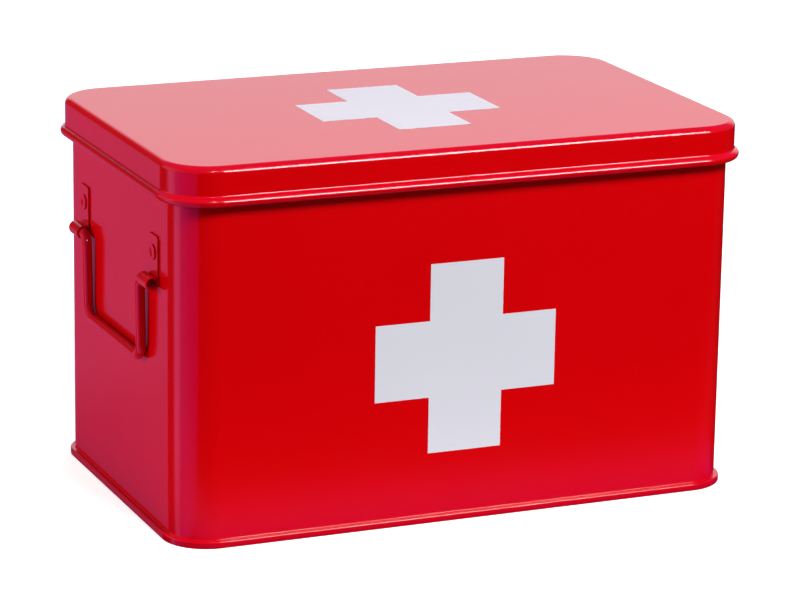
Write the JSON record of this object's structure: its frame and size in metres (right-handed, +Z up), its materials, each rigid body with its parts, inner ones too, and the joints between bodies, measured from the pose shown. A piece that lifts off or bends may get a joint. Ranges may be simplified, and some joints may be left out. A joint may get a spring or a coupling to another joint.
{
  "type": "hinged-lid metal first-aid box",
  "caption": "Oblong red sheet-steel first-aid box with rounded corners, a hinged overlapping lid, white crosses, drop handles on both ends and a lift-out tray.",
  "frame": {"origin": "on the ground, under the middle of the body", "axes": "+X along the front to the right end, +Y from the front to the hinged back, +Z up"},
  "size_m": [0.3352, 0.2108, 0.2051],
  "materials": {
    "red_coat": "glossy red powder coat on sheet steel",
    "wire_steel": "bright drawn steel wire",
    "white_enamel": "satin white enamel, printed on the red coat"
  },
  "bodies": {
    "box": {"body_wall": "red_coat", "base_panel": "red_coat", "hinge_strap_left": "red_coat", "hinge_strap_right": "red_coat", "hinge_rivets": "red_coat", "bracket_left_front": "red_coat", "bracket_left_rear": "red_coat", "bracket_right_front": "red_coat", "bracket_right_rear": "red_coat", "bracket_rivets": "red_coat", "front_cross": "white_enamel", "tray_ledge_left": "red_coat", "tray_ledge_right": "red_coat"},
    "lid": {"lid_shell": "red_coat", "lid_edge_wire": "wire_steel", "lid_cross": "white_enamel"},
    "left_handle": {"handle_left": "red_coat"},
    "right_handle": {"handle_right": "red_coat"},
    "tray": {"tray_shell": "red_coat", "tray_long_divider": "red_coat", "tray_short_divider_left": "red_coat", "tray_short_divider_right": "red_coat", "tray_grip_left": "wire_steel", "tray_grip_right": "wire_steel"}
  },
  "joints": [
    {"name": "lid_hinge", "type": "hinge", "parent": "box", "child": "lid", "pos_m": [0, 0.1018, 0.1865], "axis": [-1, 0, 0], "range_deg": [0, 105]},
    {"name": "left_handle_swing", "type": "hinge", "parent": "box", "child": "left_handle", "pos_m": [-0.1638, 0, 0.136], "axis": [0, 1, 0], "range_deg": [0, 170]},
    {"name": "right_handle_swing", "type": "hinge", "parent": "box", "child": "right_handle", "pos_m": [0.1638, 0, 0.136], "axis": [0, -1, 0], "range_deg": [0, 170]},
    {"name": "tray_lift", "type": "slide", "parent": "box", "child": "tray", "axis": [0, 0, 1], "range_m": [0, 0.021]}
  ]
}
